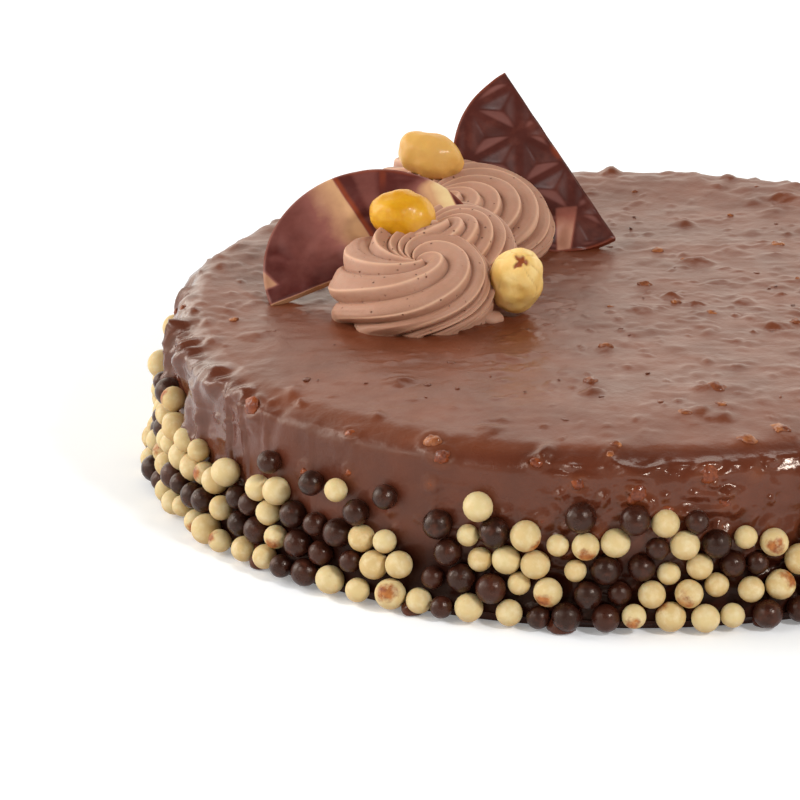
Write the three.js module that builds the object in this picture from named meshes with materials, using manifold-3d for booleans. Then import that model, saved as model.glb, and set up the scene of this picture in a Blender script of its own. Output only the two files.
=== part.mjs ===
// A round hazelnut cake under a nutty chocolate glaze. Crisp chocolate pearls ring its side, and on top
// stand piped cream rosettes, whole hazelnuts and two half-discs of faceted chocolate.
// Millimetres, +Z up. The origin is the middle of the cake's underside, and the front faces -Y.

import * as THREE from "three";
import { mergeVertices } from "three/addons/utils/BufferGeometryUtils.js";
import Module from "manifold-3d";

const wasm = await Module();
wasm.setup();

// The glazed cake
const CAKE_RADIUS = 116.5;
const CAKE_HEIGHT = 46;
const CAKE_SEGMENTS = 60;
const RIM_ROUND = 9;
const RIM_STEPS = 4;
// The glaze that ran down and set round the foot, as radius beyond the side and height
const FOOT = [
  [2, 0],
  [3.2, 2.5],
  [0.8, 8],
];

// The chocolate pearls: the share of each row's places that is filled, and how far out its middles stand
const PEARL_SEED = 20;
const PEARL_COLUMNS = 96;
const PEARL_ROWS = [
  { share: 0.96, standOff: { least: 4.6, most: 6.4 } },
  { share: 0.95, standOff: { least: 3.0, most: 4.6 } },
  { share: 0.9, standOff: { least: 2.2, most: 3.6 } },
  { share: 0.76, standOff: { least: 2.2, most: 3.4 } },
  { share: 0.34, standOff: { least: 2.2, most: 3.2 } },
];
const PEARL_FIRST_ROW = 3.7;
const PEARL_ROW_PITCH = 5.9;
const PEARL_RADIUS = { least: 2.75, most: 3.9 };
const SMALL_PEARL_EVERY = 3;
const SMALL_PEARL_SPAN = 0.3;
const PEARL_WANDER = 2.1;
const PEARL_FLOOR_GAP = 0.25;
const PEARL_SETTLE_STEPS = 40;
const PEARLS_IN_SOLID = 195;

// Chopped nuts that lift the glaze into lumps
const LUMP_SEED = 7;
const TOP_LUMPS = 30;
const RIM_LUMPS = 14;
const LUMP_WIDTH = { least: 2, most: 3.4 };
const LUMP_RISE = { least: 0.7, most: 1.5 };
const LUMP_SLIMMEST = 0.7;
const LUMP_DECOR_CLEARANCE = 4;
const RIM_LUMP_WANDER = 0.6;
const GOLDEN_ANGLE = Math.PI * (3 - Math.sqrt(5));

// What stands on the cake keeps this gap to the glaze and to its neighbours
const GAP = 0.35;
// How a mound is moved to make room for itself in those that lie behind it
const MOUND_GAP_MOVES = [[0, 0, 0], [0, GAP, GAP]];
const TOP = CAKE_HEIGHT + GAP;

// Piped rosettes: ridges wind in to an eye off the middle, and the far side stands higher by the rake.
// A ridge falls off steeply over the lip, a share of its width, and swells broadly over the rest.
const RIDGE_LIP = 0.25;
const RIDGE_DEPTH = 2.9;
const RIDGE_FADE = 0.6;
// How much of a ridge's depth goes with the room that it has
const RIDGE_ROOM = 0.6;
// How fast the ridges turn from the side to the top, and how late the eye draws off from the middle
const RIDGE_TURN_UP = 1.6;
const EYE_DRIFT = 1.5;
// Ridges wind in by the swirl in degrees: evenly where the winding is 1, mostly near the eye where it is 2.
// Crowding draws them together at the far side from the widest one, which lies at a share of the whole round.
const ROSETTES = [
  {
    name: "cream_rosette_front", at: [-54.2, -15], radius: 20.3, height: 16.6, eye: [1, -2.5], rake: 3.4,
    ridges: 7, samples: 4, steps: 10, swirl: 300, winding: 1.3, turn: 20, crowding: 0.55, widest: 0.22,
  },
  {
    name: "cream_rosette_middle", at: [-43.2, 8.5], radius: 17, height: 20.8, eye: [-7.5, -9.5], rake: 0.6,
    ridges: 12, samples: 3, steps: 11, swirl: 250, winding: 0.9, turn: 80, crowding: 0, widest: 0,
  },
  {
    name: "cream_rosette_back", at: [-36.5, 44.5], radius: 20.7, height: 18.2, eye: [-13, -8], rake: 3,
    ridges: 11, samples: 3, steps: 12, swirl: 250, winding: 0.9, turn: 40, crowding: 0, widest: 0,
  },
  {
    name: "cream_rosette_far", at: [-47, 72.5], radius: 16.5, height: 13.6, eye: [0, 3], rake: 0,
    ridges: 8, samples: 3, steps: 8, swirl: 260, winding: 1.3, turn: 0, crowding: 0, widest: 0,
  },
];
// Section of a rosette from the cake to the eye, in shares of its radius and height
const ROSETTE_SECTION = [
  [0.92, 0],
  [1, 0.22],
  [1, 0.48],
  [0.9, 0.77],
  [0.68, 0.96],
  [0.4, 1],
  [0.16, 0.93],
  [0, 0.84],
];

// Hazelnuts: middle, length, width, the way the tip points and how much it narrows
const NUT_SEGMENTS = 12;
const NUT_RINGS = 7;
const NUT_FULLNESS = 0.86;
const HAZELNUTS = [
  {
    name: "hazelnut_glazed_front", at: [-56.5, -0.3, 67.9],
    length: 17.8, width: 13.6, tip: [-0.97, 0.1, 0.12], narrowing: 0.16,
  },
  {
    name: "hazelnut_glazed_back", at: [-48.6, 46.5, 70.5],
    length: 17.6, width: 13, tip: [0.95, -0.1, -0.28], narrowing: 0.46,
  },
  {
    name: "hazelnut_plain", at: [-27.2, -16.8, 55.9],
    length: 19, width: 14.3, tip: [0.1, -0.45, 0.88], narrowing: 0.16,
  },
];

// Half-discs of chocolate: a flat back, and a front with three-sided hollows between the arms of
// six-armed stars. The hollows of the right one are deeper.
const FAN_RADIUS = 29;
const FAN_THICKNESS = 2.4;
const FAN_ARC_SEGMENTS = 20;
const STAR_PITCH = 16;
const STAR_AT = [10.5, 6.4];
const ARM_WIDTH = 2.2;
const LATTICE_COLUMNS = { least: -4, most: 2 };
const LATTICE_HALVES = { least: -4, most: 4 };
const FAN_BORDER = 1.6;
const FANS = [
  { name: "chocolate_fan_left", at: [-64.2, -1.9, 55.7], yaw: -8.6, lean: 41.8, spin: 28.7, hollow: 0.6 },
  { name: "chocolate_fan_right", at: [-14, 58, 67.7], yaw: -1.5, lean: 47.5, spin: 121.4, hollow: 1.4 },
];

// Finishes
const FINISHES = {
  glaze: new THREE.MeshStandardMaterial({ color: 0x5a3626, roughness: 0.35, metalness: 0 }),
  cream: new THREE.MeshStandardMaterial({ color: 0xc4997f, roughness: 0.6, metalness: 0 }),
  glazedNut: new THREE.MeshStandardMaterial({ color: 0xd89e2e, roughness: 0.2, metalness: 0 }),
  plainNut: new THREE.MeshStandardMaterial({ color: 0xe3c77f, roughness: 0.45, metalness: 0 }),
  chocolate: new THREE.MeshStandardMaterial({ color: 0x4b2722, roughness: 0.3, metalness: 0 }),
};

// A seeded source of numbers from 0 to 1
function randomSource(seed) {
  let state = seed >>> 0;
  return () => {
    state = (Math.imul(state, 1664525) + 1013904223) >>> 0;
    return state / 4294967296;
  };
}

function between({ least, most }, share) {
  return least + (most - least) * share;
}

// A closed geometry as a solid, without the triangles that collapse at a lathe's poles
function toSolid(geometry) {
  const bare = new THREE.BufferGeometry();
  bare.setAttribute("position", geometry.getAttribute("position"));
  if (geometry.index) bare.setIndex(geometry.index);
  const merged = mergeVertices(bare, 1e-4);
  const corners = merged.index.array;
  const kept = [];
  for (let i = 0; i < corners.length; i += 3) {
    const [a, b, c] = [corners[i], corners[i + 1], corners[i + 2]];
    if (a !== b && b !== c && c !== a) kept.push(a, b, c);
  }
  const vertProperties = merged.getAttribute("position").array;
  return new wasm.Manifold(new wasm.Mesh({ numProp: 3, vertProperties, triVerts: new Uint32Array(kept) }));
}

// The largest body of a solid as a geometry, so that scraps cut loose are dropped
function toGeometry(solid) {
  const bodies = solid.decompose().sort((a, b) => b.volume() - a.volume());
  const { vertProperties, triVerts } = bodies[0].getMesh();
  const geometry = new THREE.BufferGeometry();
  geometry.setAttribute("position", new THREE.BufferAttribute(new Float32Array(vertProperties), 3));
  geometry.setIndex(new THREE.BufferAttribute(new Uint32Array(triVerts), 1));
  geometry.computeVertexNormals();
  return geometry;
}

// Joins solids two by two, which keeps the meshes small for most of the joins
function joined(solids) {
  let level = solids;
  while (level.length > 1) {
    const next = [];
    for (let i = 0; i < level.length; i += 2) {
      next.push(i + 1 < level.length ? level[i].add(level[i + 1]) : level[i]);
    }
    level = next;
  }
  return level[0];
}

// A lathe about Z from a profile of radius and height
function turned(profile, segments) {
  const points = profile.map(([radius, height]) => new THREE.Vector2(radius, height));
  return new THREE.LatheGeometry(points, segments).rotateX(Math.PI / 2);
}

// The cake's side and rim in section, from the middle of the underside to the middle of the top
function cakeProfile() {
  const profile = [[0, 0], ...FOOT.map(([beyond, height]) => [CAKE_RADIUS + beyond, height])];
  for (let step = 0; step <= RIM_STEPS; step++) {
    const turn = (step / RIM_STEPS) * (Math.PI / 2);
    const radius = CAKE_RADIUS - RIM_ROUND * (1 - Math.cos(turn));
    profile.push([radius, CAKE_HEIGHT - RIM_ROUND * (1 - Math.sin(turn))]);
  }
  profile.push([0, CAKE_HEIGHT]);
  return profile;
}

// How far the pearls lean on each other: they are pushed apart along the unrolled side until none overlap
function settlePearls(pearls, lap) {
  for (let step = 0; step < PEARL_SETTLE_STEPS; step++) {
    for (let i = 0; i < pearls.length; i++) {
      for (let j = i + 1; j < pearls.length; j++) {
        const [a, b] = [pearls[i], pearls[j]];
        let across = b.along - a.along;
        across -= lap * Math.round(across / lap);
        const up = b.height - a.height;
        const apart = Math.hypot(across, up);
        const overlap = a.radius + b.radius - apart;
        if (overlap <= 0 || apart === 0) continue;
        const push = overlap / 2 / apart;
        a.along -= across * push;
        a.height -= up * push;
        b.along += across * push;
        b.height += up * push;
      }
    }
    for (const pearl of pearls) pearl.height = Math.max(pearl.height, pearl.radius + PEARL_FLOOR_GAP);
  }
}

// Middles and sizes of the pearls, the largest first
function pearlPlaces() {
  const draw = randomSource(PEARL_SEED);
  const pearls = [];
  const lap = 2 * Math.PI * CAKE_RADIUS;
  PEARL_ROWS.forEach(({ share, standOff: reach }, row) => {
    for (let column = 0; column < PEARL_COLUMNS; column++) {
      const filled = draw() < share;
      const along = ((column + (row % 2) / 2) / PEARL_COLUMNS) * lap + (draw() - 0.5) * 2 * PEARL_WANDER;
      const height = PEARL_FIRST_ROW + row * PEARL_ROW_PITCH + (draw() - 0.5) * 2 * PEARL_WANDER;
      const small = (column + row) % SMALL_PEARL_EVERY === 0;
      const size = draw();
      const large = SMALL_PEARL_SPAN + size * (1 - SMALL_PEARL_SPAN);
      const radius = between(PEARL_RADIUS, small ? size * SMALL_PEARL_SPAN : large);
      const standOff = between(reach, draw());
      if (filled) pearls.push({ along, height, radius, standOff });
    }
  });
  settlePearls(pearls, lap);
  return pearls.sort((a, b) => b.radius - a.radius);
}

function pearlSolids() {
  return pearlPlaces()
    .slice(0, PEARLS_IN_SOLID)
    .map(({ along, height, radius, standOff }) => {
      const turn = along / CAKE_RADIUS;
      const reach = CAKE_RADIUS + standOff;
      const ball = new THREE.IcosahedronGeometry(radius, 0);
      ball.rotateZ(along).rotateX(height);
      return toSolid(ball.translate(reach * Math.cos(turn), reach * Math.sin(turn), height));
    });
}

// Whether a place on the top is clear of all that stands there
function clearOfDecor(x, y) {
  const near = ({ at }, reach) => Math.hypot(x - at[0], y - at[1]) < reach + LUMP_DECOR_CLEARANCE;
  const onRosette = ROSETTES.some((rosette) => near(rosette, rosette.radius));
  const nearFan = FANS.some((fan) => near(fan, FAN_RADIUS));
  const nearNut = HAZELNUTS.some((nut) => near(nut, nut.length));
  return !onRosette && !nearFan && !nearNut;
}

function lumpSolid(width, rise, share) {
  const lump = new THREE.IcosahedronGeometry(1, 0).rotateZ(share * 2 * Math.PI);
  return lump.scale(width, width * between({ least: LUMP_SLIMMEST, most: 1 }, share), rise);
}

// Lumps spread over the top in a sunflower pattern, and round the rim at even turns
function lumpSolids() {
  const draw = randomSource(LUMP_SEED);
  const lumps = [];
  for (let i = 0; i < TOP_LUMPS; i++) {
    const reach = (CAKE_RADIUS - RIM_ROUND) * Math.sqrt((i + 0.5) / TOP_LUMPS);
    const turn = i * GOLDEN_ANGLE;
    const [width, rise, share] = [between(LUMP_WIDTH, draw()), between(LUMP_RISE, draw()), draw()];
    const [x, y] = [reach * Math.cos(turn), reach * Math.sin(turn)];
    if (clearOfDecor(x, y)) lumps.push(toSolid(lumpSolid(width, rise, share).translate(x, y, CAKE_HEIGHT)));
  }
  for (let i = 0; i < RIM_LUMPS; i++) {
    const turn = ((i + draw() * RIM_LUMP_WANDER) / RIM_LUMPS) * 2 * Math.PI;
    const tilt = draw() * (Math.PI / 2);
    const [width, rise, share] = [between(LUMP_WIDTH, draw()), between(LUMP_RISE, draw()), draw()];
    const lump = lumpSolid(width, rise, share).rotateY(tilt);
    const reach = CAKE_RADIUS - RIM_ROUND + RIM_ROUND * Math.sin(tilt);
    lump.translate(reach, 0, CAKE_HEIGHT - RIM_ROUND + RIM_ROUND * Math.cos(tilt)).rotateZ(turn);
    lumps.push(toSolid(lump));
  }
  return lumps;
}

function cakeMesh() {
  const body = toSolid(turned(cakeProfile(), CAKE_SEGMENTS));
  const whole = joined([...pearlSolids(), ...lumpSolids(), body]);
  const mesh = new THREE.Mesh(toGeometry(whole), FINISHES.glaze);
  mesh.name = "cake";
  return mesh;
}

// A ridge in section, from a crest at each whole number down over its lip and up the next ridge's back
function crest(phase) {
  const past = phase - Math.floor(phase);
  if (past < RIDGE_LIP) return 1 - past / RIDGE_LIP;
  return Math.sin(((past - RIDGE_LIP) / (1 - RIDGE_LIP)) * (Math.PI / 2));
}

function rosetteProfile(radius, height, steps) {
  const section = new THREE.SplineCurve(ROSETTE_SECTION.map(([out, up]) => new THREE.Vector2(out, up)));
  const profile = section.getPoints(steps).map((p) => [Math.max(0, p.x) * radius, p.y * height]);
  profile[0][1] = 0;
  profile[steps][0] = 0;
  return profile;
}

// A mound whose ridges wind from its foot up and in to the eye, anticlockwise from above
function rosetteMesh(rosette) {
  const { name, at, radius, height, eye, rake, ridges, samples, steps, swirl, winding, turn } = rosette;
  const { crowding, widest } = rosette;
  const rings = [[0, 0], ...rosetteProfile(radius, height, steps)];
  const columns = ridges * samples;
  const start = THREE.MathUtils.degToRad(turn);
  const whole = THREE.MathUtils.degToRad(swirl);
  const geometry = turned(rings, columns);
  const position = geometry.getAttribute("position");
  for (let i = 0; i < position.count; i++) {
    const column = Math.floor(i / rings.length) % columns;
    const ring = i % rings.length;
    const climb = Math.max(0, ring - 1) / steps;
    const [reach, rise] = rings[ring];
    const pole = ring === 0 || reach === 0;
    const round = (column / columns) * 2 * Math.PI;
    const fromWidest = round - widest * 2 * Math.PI;
    const room = 1 + RIDGE_ROOM * crowding * Math.cos(fromWidest);
    const angle = round + crowding * Math.sin(fromWidest) + start + whole * climb ** winding;
    const depth = pole ? 0 : RIDGE_DEPTH * room * (1 - climb * RIDGE_FADE);
    const swell = (crest(column / samples) - 0.5) * depth;
    const slope = Math.min(1, climb * RIDGE_TURN_UP) * (Math.PI / 2);
    const out = reach + swell * Math.cos(slope);
    const lift = rise > 0 ? swell * Math.sin(slope) : 0;
    const raked = (rise / height) * rake * ((out * Math.sin(angle)) / radius);
    const drift = climb ** EYE_DRIFT;
    position.setXYZ(
      i,
      out * Math.cos(angle) + eye[0] * drift,
      out * Math.sin(angle) + eye[1] * drift,
      rise + lift + raked,
    );
  }
  const mesh = new THREE.Mesh(geometry, FINISHES.cream.clone());
  mesh.name = name;
  mesh.position.set(...at, TOP);
  return mesh;
}

// A round kernel, a little flat at its base and drawn out to a blunt tip
function hazelnutMesh({ name, at, length, width, tip, narrowing }) {
  const profile = [];
  for (let ring = 0; ring <= NUT_RINGS; ring++) {
    const turn = (ring / NUT_RINGS) * Math.PI;
    const along = -Math.cos(turn);
    const pinch = 1 - narrowing * Math.max(0, along) ** 2;
    const swell = ring % NUT_RINGS === 0 ? 0 : Math.sin(turn) ** NUT_FULLNESS;
    profile.push([(width / 2) * swell * pinch, (length / 2) * along]);
  }
  const finish = name === "hazelnut_plain" ? FINISHES.plainNut : FINISHES.glazedNut;
  const mesh = new THREE.Mesh(toGeometry(toSolid(turned(profile, NUT_SEGMENTS))), finish.clone());
  mesh.name = name;
  mesh.position.set(...at);
  mesh.quaternion.setFromUnitVectors(new THREE.Vector3(0, 0, 1), new THREE.Vector3(...tip).normalize());
  return mesh;
}

// A half-disc inset from the fan's own outline, its straight side along X and its front at height 0
function halfDisc(inset, depth) {
  const radius = FAN_RADIUS - inset;
  const ends = Math.asin(inset / radius);
  const outline = new THREE.Shape();
  outline.absarc(0, 0, radius, ends, Math.PI - ends, false);
  outline.closePath();
  const options = { depth, bevelEnabled: false, curveSegments: FAN_ARC_SEGMENTS };
  return new THREE.ExtrudeGeometry(outline, options).translate(0, 0, -depth);
}

// Three-sided hollows round the stars of a triangular lattice, kept inside the border
function hollows(depth) {
  const bed = toSolid(halfDisc(FAN_BORDER, FAN_THICKNESS).translate(0, 0, FAN_THICKNESS / 2));
  const reach = STAR_PITCH / Math.sqrt(3) - ARM_WIDTH;
  const columnPitch = (STAR_PITCH * Math.sqrt(3)) / 2;
  const cut = [];
  for (let column = LATTICE_COLUMNS.least; column <= LATTICE_COLUMNS.most; column++) {
    for (let half = LATTICE_HALVES.least; half <= LATTICE_HALVES.most; half++) {
      const pointsBack = (column + half) % 2 === 0;
      const x = STAR_AT[0] + column * columnPitch + (pointsBack ? columnPitch * 2 : columnPitch) / 3;
      const y = STAR_AT[1] + (half * STAR_PITCH) / 2;
      const hollow = new THREE.ConeGeometry(reach * 2, depth * 2, 3).rotateX(-Math.PI / 2);
      hollow.rotateZ(pointsBack ? -Math.PI / 2 : Math.PI / 2).translate(x, y, 0);
      const within = y > FAN_BORDER && Math.hypot(x, y) < FAN_RADIUS - FAN_BORDER;
      if (within) cut.push(toSolid(hollow).intersect(bed));
    }
  }
  return joined(cut);
}

function fanGroup({ name, at, yaw, lean, spin, hollow }) {
  const geometry = toGeometry(toSolid(plainFan).subtract(hollows(hollow)));
  const mesh = new THREE.Mesh(geometry, FINISHES.chocolate.clone());
  mesh.name = name;
  mesh.rotation.z = THREE.MathUtils.degToRad(spin);
  const tilted = new THREE.Group().add(mesh);
  tilted.rotation.x = THREE.MathUtils.degToRad(lean);
  const placed = new THREE.Group().add(tilted);
  placed.rotation.z = THREE.MathUtils.degToRad(yaw);
  placed.position.set(...at);
  placed.updateMatrixWorld(true);
  return { placed, mesh };
}

// A geometry placed as a mesh is, as a solid swollen by a gap on every side
function swollen(mesh, plain) {
  const geometry = plain.clone();
  geometry.computeBoundingBox();
  const [middle, size] = [new THREE.Vector3(), new THREE.Vector3()];
  geometry.boundingBox.getCenter(middle);
  geometry.boundingBox.getSize(size);
  const factors = size.clone().addScalar(2 * GAP).divide(size);
  geometry.translate(-middle.x, -middle.y, -middle.z).scale(...factors).translate(...middle);
  mesh.updateWorldMatrix(true, false);
  return toSolid(geometry.applyMatrix4(mesh.matrixWorld));
}

// A ridged mound swollen by a gap: the mound joined to a copy of it moved back and up by the gap
function swollenMound(mesh) {
  mesh.updateWorldMatrix(true, false);
  const solid = toSolid(mesh.geometry.clone().applyMatrix4(mesh.matrixWorld));
  return joined(MOUND_GAP_MOVES.map((move) => solid.translate(move)));
}

// Presses other pieces into a mesh: their swollen solids are cut away
function pressInto(mesh, swollenOthers) {
  mesh.updateWorldMatrix(true, false);
  let solid = toSolid(mesh.geometry.clone().applyMatrix4(mesh.matrixWorld));
  for (const other of swollenOthers) solid = solid.subtract(other);
  mesh.geometry = toGeometry(solid).applyMatrix4(mesh.matrixWorld.clone().invert());
}

const plainFan = halfDisc(0, FAN_THICKNESS);
const fans = FANS.map(fanGroup);
const nuts = HAZELNUTS.map(hazelnutMesh);
const rosettes = ROSETTES.map(rosetteMesh);
const cake = cakeMesh();

const pressedFans = fans.map(({ mesh }) => swollen(mesh, plainFan));
const pressedNuts = nuts.map((mesh) => swollen(mesh, mesh.geometry));
const pressedRosettes = rosettes.map(swollenMound);
rosettes.forEach((rosette, i) => {
  pressInto(rosette, [...pressedFans, ...pressedNuts, ...pressedRosettes.slice(0, i)]);
});
pressInto(cake, pressedFans);

const hazelnutCake = new THREE.Group();
hazelnutCake.add(cake, ...rosettes, ...nuts, ...fans.map((fan) => fan.placed));

export default hazelnutCake;
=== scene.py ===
"""Looks of a round hazelnut cake: glaze, crisp pearls, piped cream, hazelnuts and half-discs of chocolate.

Sizes are millimetres in the frame of the solids, and become metres where a mesh is made. Turns round the
cake are degrees from +X in the values below. A mark is a number at each point of a mesh, for its material.
"""

import itertools
import math

import bmesh
import bpy
import numpy as np
from mathutils import Matrix, Vector


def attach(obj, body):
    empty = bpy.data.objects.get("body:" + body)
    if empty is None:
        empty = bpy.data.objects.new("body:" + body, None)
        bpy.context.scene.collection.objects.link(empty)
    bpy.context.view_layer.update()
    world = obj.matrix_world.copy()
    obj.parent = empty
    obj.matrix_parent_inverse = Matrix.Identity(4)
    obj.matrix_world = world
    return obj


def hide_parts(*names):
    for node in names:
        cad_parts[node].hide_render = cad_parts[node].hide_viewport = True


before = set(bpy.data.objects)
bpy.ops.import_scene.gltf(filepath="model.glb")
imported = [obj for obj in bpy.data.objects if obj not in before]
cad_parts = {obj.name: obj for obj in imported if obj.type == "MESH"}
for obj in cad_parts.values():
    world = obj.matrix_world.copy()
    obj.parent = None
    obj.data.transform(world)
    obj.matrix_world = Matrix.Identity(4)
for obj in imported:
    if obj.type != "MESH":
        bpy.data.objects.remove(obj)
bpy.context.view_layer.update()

MM = 0.001
UP = np.array([0, 0, 1.0])
FULL_TURN = 2 * math.pi
GOLDEN_ANGLE = math.pi * (3 - math.sqrt(5))
NOISE_TILT = (0.7, 0.9, 0.4)

# The glazed cake, as its solid has it
CAKE_RADIUS = 116.5
CAKE_HEIGHT = 46
RIM_ROUND = 9
FOOT = ((2, 0), (3.2, 2.5), (0.8, 8))
TOP_RADIUS = CAKE_RADIUS - RIM_ROUND
SIDE_HEIGHT = CAKE_HEIGHT - RIM_ROUND
GLAZE_COLUMNS = 740
SIDE_ROWS = 56
RIM_ROWS = 14
TOP_ROWS = 126

# Crisp pearls, by the solid's rule: the share of a row's places that is filled, and its span of stand-off
PEARL_SEED = 20
PEARL_COLUMNS = 96
PEARL_ROWS = ((0.96, 4.6, 6.4), (0.95, 3.0, 4.6), (0.9, 2.2, 3.6), (0.76, 2.2, 3.4), (0.34, 2.2, 3.2))
PEARL_FIRST_ROW = 3.7
PEARL_ROW_PITCH = 5.9
PEARL_RADIUS = (2.75, 3.9)
SMALL_PEARL_EVERY = 3
SMALL_PEARL_SPAN = 0.3
PEARL_WANDER = 2.1
PEARL_FLOOR_GAP = 0.25
PEARL_SETTLE_STEPS = 40
PEARL_REACH = 16
PEARL_SEGMENTS = 20
PEARL_RINGS = 12
# Their looks: patches of one kind, how far kinds mix, unevenness, and shares of stained ones, low and high
PEARL_PATCH = 8
PEARL_MIXING = 0.35
WHITE_SHARE = 0.55
PEARL_STRETCH = 0.035
PEARL_DENTS = ((0.02, 0.8, 80),)
LOW_PEARL = 12
STAINED_SHARES = (0.3, 0.14)

# Chopped nuts under the glaze, as the solid has them
LUMP_SEED = 7
TOP_LUMPS = 30
RIM_LUMPS = 14
LUMP_WIDTH = (2, 3.4)
LUMP_RISE = (0.7, 1.5)
LUMP_SLIMMEST = 0.7
RIM_LUMP_WANDER = 0.6
DECOR_CLEARANCE = 4

# Finer mounds of the glaze: how many, how wide, how high and, on the rim and side, between which turns
FINE_SEED = 11
TOP_MOUNDS = ((150, (2.2, 4.6), (0.3, 1)), (240, (1.2, 2.4), (0.25, 0.65)))
RIM_MOUNDS = (64, (1.6, 3.4), (0.6, 1.7), (45, 225))
SIDE_MOUNDS = (
    (380, (1.1, 2.9), (0.35, 1.3), (-180, 180)),
    (330, (1.2, 2.5), (0.6, 2.0), (-108, 130)),
)
TOP_GRAINS = (260, (0.9, 1.6), (0.2, 0.6))
TOP_MOUND_EDGE = 4
TOP_MOUND_WANDER = 6
TOP_MOUND_SLIMNESS = (0.4, 0.9)
MOUND_LOWNESS = 1.5
SIDE_MOUND_HEIGHTS = (10, CAKE_HEIGHT - 2)
# Where the front rim is left smooth: on top in front of a y, and on the side between two turns above a height
SMOOTH_TOP = -35
SMOOTH_SIDE = (-150, -100)
SMOOTH_SIDE_FROM = 28
LUMP_SWAY = 0.4
LUMP_STEEPNESS = 1.2
LUMP_REACH = 2.4

# Layers of noise in the glaze: height, size and seed
TOP_WAVES = ((0.3, (28, 15, 20), 21), (0.14, (11, 6, 9), 22))
TOP_CRUMBS = ((1, 4.2, 23), (0.5, 2.2, 24))
TOP_STREAKS = ((0.12, (6, 2.4, 3), 27),)
SIDE_WAVES = ((0.75, 16, 42), (0.45, 7, 43))
SIDE_RIPPLES = ((0.2, 3, 47),)
# Turn and spread in radians of the folds, the calm stretch and the sags on the side
SIDE_FOLDS = (190, 0.45)
SIDE_CALM = (235, 0.4)
SIDE_SAGS = (-82, 0.45)
# The uneven pour: how far the glaze rises along the far rim and falls over the front one, and where
FAR_SWELL = 1.8
FAR_SWELL_REACH = (84, 105)
FAR_SWELL_Y = (0, 45)
FRONT_FALL = 2.8
FRONT_FALL_REACH = (84, 116)
FRONT_FALL_Y = (10, -50)
# How far up the glaze faces where the side turns into the top
FLAT = (0.6, 0.98)
# Turns between which the glaze becomes matt at the front left and behind, and shiny at the left
MATT_FROM = (-97, -120)
MATT_LESS = (-138, -152)
MATT_BEHIND = (120, 150)
SHINY_FROM = ((-140, -155), (160, 175))
# Heights between which painted shade darkens the glaze towards the foot, between the pearls
FOOT_SHADE_HEIGHTS = (23, 13)

# Crumbs in the glaze, and drips at the foot: half length, half height and how far out
CRUMBS = 100
SIDE_CRUMB_EVERY = 4
CRUMB_SIZE = (0.4, 1.2)
CRUMB_FLATNESS = 0.24
CRUMB_CRAGS = ((0.45, 0.7, 700),)
DRIPS = 17
DRIP_LENGTH = (1.8, 3.6)
DRIP_DEPTH = 2.6
DRIP_HEIGHT = (2.4, 4.4)
DRIP_OUT = (3.6, 5.2)
DRIP_FLOOR = 0.05
DRIP_CRAGS = ((0.3, 0.8, 1700),)
# The drips get a little of the glaze's painted shade through the low mark
DRIP_MARKS = {"top": 0, "matt": 0, "nut": 0, "sheen": 0, "low": 0.3}

# Bare pieces of nut that show on top (x, y, width) and on the side (turn, height, width)
TOP_NUTS = (
    (20.3, -75.5, 6.2), (7.1, 8.6, 3.7), (14.5, -5.4, 2.6), (23.6, -15, 3.1), (44.5, -22, 3.1),
    (-5.1, -42.9, 3.8), (-9.9, -69.1, 3.5), (11.7, 38.9, 3.2), (18.6, 30.9, 2.4), (-2.8, -9.1, 1.8),
    (12.6, -91.3, 4), (16.4, -91, 3.2), (21.3, -86.4, 3.2), (26.4, -105.2, 4.4), (34.7, -98.9, 5.4),
    (-5.4, -108.7, 3.4), (47.8, 14.1, 2.4),
)
SIDE_NUTS = (
    (-144, 40.3, 4.7), (-115.8, 44.2, 4.3), (-114, 40.5, 4.8), (-127.1, 42.2, 2.9), (-115.2, 32.6, 2.4),
    (-126.6, 31.3, 2.4), (-133.7, 27.9, 3), (-102.3, 42.1, 3.1), (-97.2, 36.5, 3.6), (-90.4, 33.9, 6),
    (-86.5, 28.7, 5.1), (-81.8, 38.9, 4.8), (-79.6, 31.2, 3.9), (-76.2, 38.1, 3.1), (-74.1, 24.3, 2.7),
    (-80.1, 24.8, 2.2), (-81.5, 22.4, 3.1), (-101.3, 26.6, 2.2), (-94.6, 24.7, 2.4), (-93.4, 44.6, 2.4),
)
# More like them out of sight: how many, then spans of turn, height and width, or the reach on top and widths
HIDDEN_SIDE_NUTS = (44, (-65, 205), (20, 45), (2, 5.4))
HIDDEN_TOP_NUTS = (40, 108, (1.8, 4.4))
NUT_CRAGS = ((0.3, 0.75, 60), (0.2, 0.35, 260))
NUT_SKIN_SEED = 460

# Piped rosettes, as their solids have them
TOP = 46.35
RIDGE_DEPTH = 2.9
RIDGE_LIP = 0.25
RIDGE_FADE = 0.6
RIDGE_ROOM = 0.6
RIDGE_TURN_UP = 1.6
EYE_DRIFT = 1.5
ROSETTE_ROWS = 90
ROSETTE_COLUMNS = 320
ROSETTE_SINK = 0.9
ROSETTE_SEED = 90
ROSETTES = (
    {"name": "cream_rosette_front", "at": (-54.2, -15), "radius": 20.3, "height": 16.6, "eye": (1, -2.5),
     "rake": 3.4, "ridges": 7, "swirl": 300, "winding": 1.3, "turn": 20,
     "crowding": 0.55, "widest": 0.22, "peaks": 1.8},
    {"name": "cream_rosette_middle", "at": (-43.2, 8.5), "radius": 17, "height": 20.8, "eye": (-7.5, -9.5),
     "rake": 0.6, "ridges": 12, "swirl": 250, "winding": 0.9, "turn": 80},
    {"name": "cream_rosette_back", "at": (-36.5, 44.5), "radius": 20.7, "height": 18.2, "eye": (-13, -8),
     "rake": 3, "ridges": 11, "swirl": 250, "winding": 0.9, "turn": 40},
    {"name": "cream_rosette_far", "at": (-47, 72.5), "radius": 16.5, "height": 13.6, "eye": (0, 3),
     "rake": 0, "ridges": 8, "swirl": 260, "winding": 1.3, "turn": 0},
)
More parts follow.
